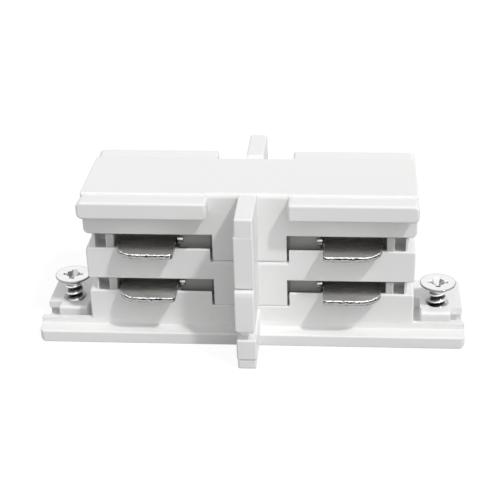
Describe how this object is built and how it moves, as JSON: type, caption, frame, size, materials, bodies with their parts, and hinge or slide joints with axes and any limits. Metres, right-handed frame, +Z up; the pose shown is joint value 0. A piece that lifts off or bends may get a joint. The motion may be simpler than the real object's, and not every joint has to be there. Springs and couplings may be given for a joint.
{
  "type": "track light straight connector",
  "caption": "Straight joiner for lighting track: stacked white layers on a foot plate, rounded contact tabs out of the sides, a cross of thin fins at the middle, a clamp screw at each end.",
  "frame": {"origin": "centre of the foot plate's underside", "axes": "+X along the track, +Z up from the foot plate to the cover, -Y is the front of the picture"},
  "size_m": [0.0748, 0.038, 0.0283],
  "materials": {
    "base_plastic": "satin moulded white",
    "middle_plastic": "satin moulded white",
    "cover_plastic": "satin moulded white",
    "contact_metal": "stamped plated sheet",
    "clamp_screw_metal": "bright plated",
    "assembly_screw_metal": "plated",
    "earth_metal": "stamped sheet"
  },
  "bodies": {
    "connector": {"base_body": "base_plastic", "middle_layer": "middle_plastic", "top_cover": "cover_plastic", "contact_strip_front_upper": "contact_metal", "contact_strip_front_lower": "contact_metal", "contact_strip_rear_upper": "contact_metal", "contact_strip_rear_lower": "contact_metal", "assembly_screw_left": "assembly_screw_metal", "assembly_screw_right": "assembly_screw_metal", "earth_strip": "earth_metal"},
    "left_clamp": {"clamp_screw_left": "clamp_screw_metal"},
    "right_clamp": {"clamp_screw_right": "clamp_screw_metal"}
  },
  "joints": [
    {"name": "left_clamp_slide", "type": "slide", "parent": "connector", "child": "left_clamp", "axis": [0, 0, 1], "range_m": [-0.00315, 0.001]},
    {"name": "right_clamp_slide", "type": "slide", "parent": "connector", "child": "right_clamp", "axis": [0, 0, 1], "range_m": [-0.00265, 0.0015]}
  ]
}
